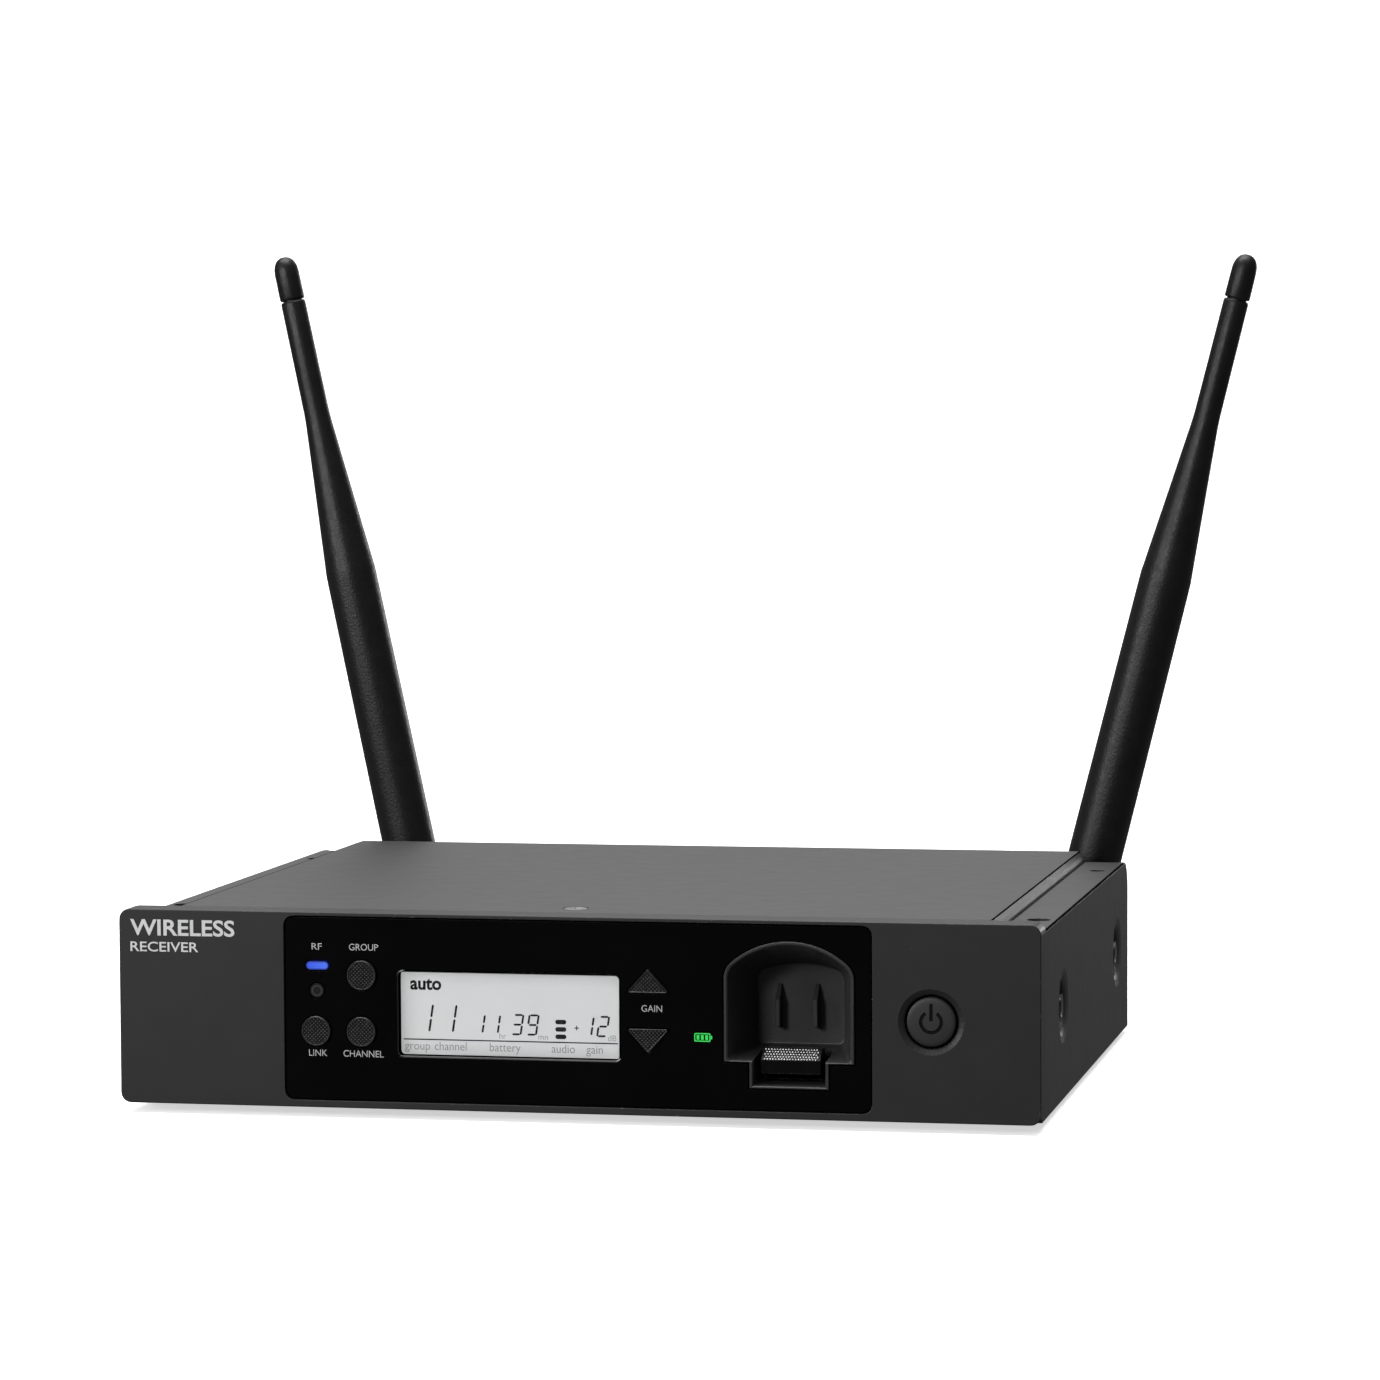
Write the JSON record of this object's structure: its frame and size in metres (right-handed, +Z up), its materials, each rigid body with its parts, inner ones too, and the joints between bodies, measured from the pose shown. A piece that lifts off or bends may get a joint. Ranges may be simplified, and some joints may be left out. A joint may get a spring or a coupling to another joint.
{
  "type": "wireless audio receiver",
  "caption": "Half-width rack receiver in a folded steel case, with a glossy control face, display, round and triangular keys, arched battery charging bay and tilting rear antennas.",
  "frame": {"origin": "centre of the case's flat bottom face, half way from the bezel's face to the rear edge of the side plates", "axes": "+X to the right of the front face, +Y from the front face to the rear panel, +Z up"},
  "size_m": [0.2401, 0.1787, 0.1851],
  "materials": {
    "case_paint": "fine-textured satin powder coat, dark grey",
    "bezel_paint": "smooth satin dark grey",
    "screw_steel": "turned, bright",
    "foot_rubber": "matte",
    "fascia_black": "high gloss",
    "window_clear": "clear, polished",
    "display_glass": "satin, back-lit",
    "display_glow": "diffusing",
    "light_blue": "glowing lens",
    "light_off": "unlit lens",
    "light_green": "glowing lens",
    "button_black": "satin, fine diamond knurl",
    "power_grey": "satin",
    "bay_black": "satin moulded plastic",
    "latch_black": "gloss with a dotted thumb face",
    "board_green": "solder mask",
    "shield_tin": "tin plate",
    "ribbon_grey": "smooth",
    "connector_nickel": "nickel plate",
    "insert_black": "moulded",
    "connector_brass": "gold-plated brass",
    "antenna_black": "matte moulded",
    "pin_steel": "satin",
    "coax_black": "matte"
  },
  "bodies": {
    "case": {"base_tray": "case_paint", "side_plate_left": "case_paint", "side_plate_right": "case_paint", "rear_panel": "case_paint", "top_cover": "case_paint", "cover_screw": "screw_steel", "foot_front_left": "foot_rubber", "foot_front_right": "foot_rubber", "foot_rear_left": "foot_rubber", "foot_rear_right": "foot_rubber", "front_bezel": "bezel_paint", "front_fascia": "fascia_black", "display_window": "window_clear", "lcd_panel": "display_glass", "lcd_backlight": "display_glow", "rf_light_lens": "light_blue", "link_light_lens": "light_off", "battery_light_lens": "light_green", "charging_bay": "bay_black", "control_board": "board_green", "charger_board": "board_green", "main_board": "board_green", "rf_shield": "shield_tin", "audio_shield": "shield_tin", "ribbon_cable": "ribbon_grey", "xlr_shell": "connector_nickel", "xlr_insert": "insert_black", "jack_body": "insert_black", "jack_nut": "connector_nickel", "dc_inlet": "insert_black", "cord_tie_off": "case_paint", "usb_port": "connector_nickel", "level_switch_body": "connector_nickel", "antenna_connector_left": "connector_brass", "antenna_nut_left": "connector_brass", "coax_left": "coax_black", "antenna_connector_right": "connector_brass", "antenna_nut_right": "connector_brass", "coax_right": "coax_black"},
    "button_group": {"group_button": "button_black"},
    "button_link": {"link_button": "button_black"},
    "button_channel": {"channel_button": "button_black"},
    "button_gain_up": {"gain_up_button": "button_black"},
    "button_gain_down": {"gain_down_button": "button_black"},
    "button_power": {"power_button": "power_grey"},
    "latch": {"battery_latch": "latch_black"},
    "level_slider": {"level_switch_slider": "insert_black"},
    "swivel_left": {"antenna_base_left": "antenna_black", "antenna_pin_left": "pin_steel"},
    "whip_left": {"antenna_whip_left": "antenna_black", "antenna_tip_left": "antenna_black"},
    "swivel_right": {"antenna_base_right": "antenna_black", "antenna_pin_right": "pin_steel"},
    "whip_right": {"antenna_whip_right": "antenna_black", "antenna_tip_right": "antenna_black"}
  },
  "joints": [
    {"name": "group_press", "type": "slide", "parent": "case", "child": "button_group", "axis": [0, 1, 0], "range_m": [0, 0.0005], "stiffness_N_per_m": 1500},
    {"name": "link_press", "type": "slide", "parent": "case", "child": "button_link", "axis": [0, 1, 0], "range_m": [0, 0.0005], "stiffness_N_per_m": 1500},
    {"name": "channel_press", "type": "slide", "parent": "case", "child": "button_channel", "axis": [0, 1, 0], "range_m": [0, 0.0005], "stiffness_N_per_m": 1500},
    {"name": "gain_up_press", "type": "slide", "parent": "case", "child": "button_gain_up", "axis": [0, 1, 0], "range_m": [0, 0.0005], "stiffness_N_per_m": 1500},
    {"name": "gain_down_press", "type": "slide", "parent": "case", "child": "button_gain_down", "axis": [0, 1, 0], "range_m": [0, 0.0005], "stiffness_N_per_m": 1500},
    {"name": "power_press", "type": "slide", "parent": "case", "child": "button_power", "axis": [0, 1, 0], "range_m": [0, 0.0008], "stiffness_N_per_m": 1800},
    {"name": "latch_press", "type": "slide", "parent": "case", "child": "latch", "axis": [0, 0, -1], "range_m": [0, 0.0021], "stiffness_N_per_m": 900},
    {"name": "level_select", "type": "slide", "parent": "case", "child": "level_slider", "axis": [1, 0, 0], "range_m": [0, 0.0025]},
    {"name": "antenna_swivel_left", "type": "hinge", "parent": "case", "child": "swivel_left", "pos_m": [-0.0761, 0.0905, 0.0206], "axis": [0, 1, 0], "range_deg": [-78, 27]},
    {"name": "antenna_elbow_left", "type": "hinge", "parent": "swivel_left", "child": "whip_left", "pos_m": [-0.0761, 0.0905, 0.0206], "axis": [-0.9781, 0, -0.2079], "range_deg": [0, 90]},
    {"name": "antenna_swivel_right", "type": "hinge", "parent": "case", "child": "swivel_right", "pos_m": [0.0841, 0.0905, 0.0206], "axis": [0, 1, 0], "range_deg": [-29, 75]},
    {"name": "antenna_elbow_right", "type": "hinge", "parent": "swivel_right", "child": "whip_right", "pos_m": [0.0841, 0.0905, 0.0206], "axis": [-0.9694, 0, 0.2453], "range_deg": [0, 90]}
  ]
}
